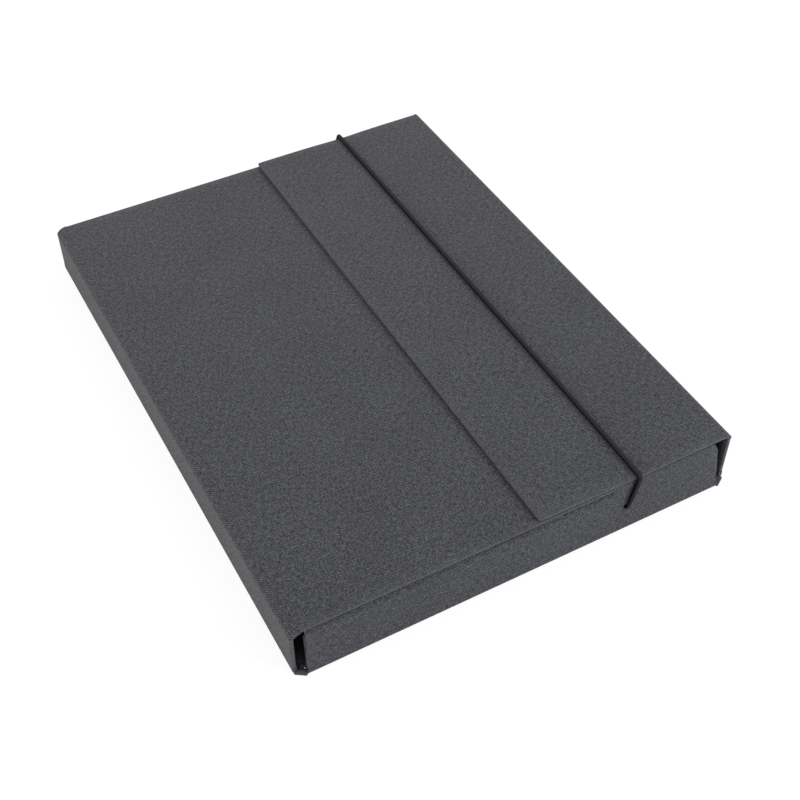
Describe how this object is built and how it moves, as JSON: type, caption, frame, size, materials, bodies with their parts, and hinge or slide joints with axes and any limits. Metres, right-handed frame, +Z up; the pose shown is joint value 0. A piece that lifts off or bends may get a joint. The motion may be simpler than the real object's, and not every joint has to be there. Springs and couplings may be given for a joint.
{
  "type": "document folder",
  "caption": "Flat A4 document folder of cloth-covered board: hinged cover, overlap flap, folding end walls and a round elastic cord round the flap.",
  "frame": {"origin": "centre of the folder's footprint, on the surface that the base lies on", "axes": "+X across the folder from the cover's spine to the flap's spine, +Y along the spines, +Z up"},
  "size_m": [0.251, 0.3398, 0.0368],
  "materials": {
    "book_cloth": "matte woven book cloth",
    "greyboard": "matte",
    "lining_paper": "matte",
    "elastic": "matte braided cord"
  },
  "bodies": {
    "case": {"base_board": "greyboard", "base_cloth": "book_cloth", "base_lining": "lining_paper", "left_foot_fold": "book_cloth", "right_foot_fold": "book_cloth", "front_foot_fold": "book_cloth", "back_foot_fold": "book_cloth"},
    "left_spine": {"left_spine_board": "greyboard", "left_spine_cloth": "book_cloth", "left_spine_lining": "lining_paper", "left_top_fold": "book_cloth"},
    "cover": {"cover_board": "greyboard", "cover_cloth": "book_cloth", "cover_lining": "lining_paper"},
    "right_spine": {"right_spine_board": "greyboard", "right_spine_cloth": "book_cloth", "right_spine_lining": "lining_paper", "right_top_fold": "book_cloth"},
    "flap": {"flap_board": "greyboard", "flap_cloth": "book_cloth", "flap_lining": "lining_paper"},
    "front_wall": {"front_wall_board": "greyboard", "front_wall_cloth": "book_cloth", "front_wall_lining": "lining_paper", "front_top_fold": "book_cloth", "front_knot": "elastic"},
    "front_tuck": {"front_tuck_board": "greyboard", "front_tuck_cloth": "book_cloth", "front_tuck_lining": "lining_paper"},
    "back_wall": {"back_wall_board": "greyboard", "back_wall_cloth": "book_cloth", "back_wall_lining": "lining_paper", "back_top_fold": "book_cloth", "back_knot": "elastic"},
    "back_tuck": {"back_tuck_board": "greyboard", "back_tuck_cloth": "book_cloth", "back_tuck_lining": "lining_paper"},
    "elastic": {"elastic_cord": "elastic"}
  },
  "joints": [
    {"name": "right_spine_fold", "type": "hinge", "parent": "case", "child": "right_spine", "pos_m": [0.12518, 0, 0.00032], "axis": [0, 1, 0], "range_deg": [0, 90], "deforming": ["right_foot_fold"]},
    {"name": "flap_fold", "type": "hinge", "parent": "right_spine", "child": "flap", "pos_m": [0.12475, 0, 0.03315], "axis": [0, 1, 0], "range_deg": [0, 90], "deforming": ["right_top_fold"]},
    {"name": "left_spine_fold", "type": "hinge", "parent": "case", "child": "left_spine", "pos_m": [-0.12518, 0, 0.00032], "axis": [0, -1, 0], "range_deg": [0, 90], "deforming": ["left_foot_fold"]},
    {"name": "cover_fold", "type": "hinge", "parent": "left_spine", "child": "cover", "pos_m": [-0.12423, 0, 0.02993], "axis": [0, -1, 0], "range_deg": [0, 90], "deforming": ["left_top_fold"]},
    {"name": "front_wall_fold", "type": "hinge", "parent": "case", "child": "front_wall", "pos_m": [0, -0.16896, 0.00038], "axis": [1, 0, 0], "range_deg": [0, 98], "deforming": ["front_foot_fold"]},
    {"name": "front_tuck_fold", "type": "hinge", "parent": "front_wall", "child": "front_tuck", "pos_m": [0, -0.16485, 0.02789], "axis": [1, 0, 0], "range_deg": [0, 82], "deforming": ["front_top_fold"]},
    {"name": "back_wall_fold", "type": "hinge", "parent": "case", "child": "back_wall", "pos_m": [0, 0.16896, 0.00038], "axis": [-1, 0, 0], "range_deg": [0, 98], "deforming": ["back_foot_fold"]},
    {"name": "back_tuck_fold", "type": "hinge", "parent": "back_wall", "child": "back_tuck", "pos_m": [0, 0.16485, 0.02789], "axis": [-1, 0, 0], "range_deg": [0, 82], "deforming": ["back_top_fold"]},
    {"name": "elastic_release", "type": "slide", "parent": "case", "child": "elastic", "axis": [1, 0, 0], "range_m": [0, 0.066], "stiffness_N_per_m": 8, "deforming": ["elastic_cord"]}
  ],
  "couplings": [
    {"joint": "flap_fold", "follows": "right_spine_fold", "ratio": 1},
    {"joint": "cover_fold", "follows": "right_spine_fold", "ratio": 0.5},
    {"joint": "left_spine_fold", "follows": "right_spine_fold", "ratio": 0.28},
    {"joint": "front_wall_fold", "follows": "right_spine_fold", "ratio": 0.03},
    {"joint": "back_wall_fold", "follows": "right_spine_fold", "ratio": 0.03},
    {"joint": "front_tuck_fold", "follows": "right_spine_fold", "ratio": 0.72},
    {"joint": "back_tuck_fold", "follows": "right_spine_fold", "ratio": 0.72}
  ]
}
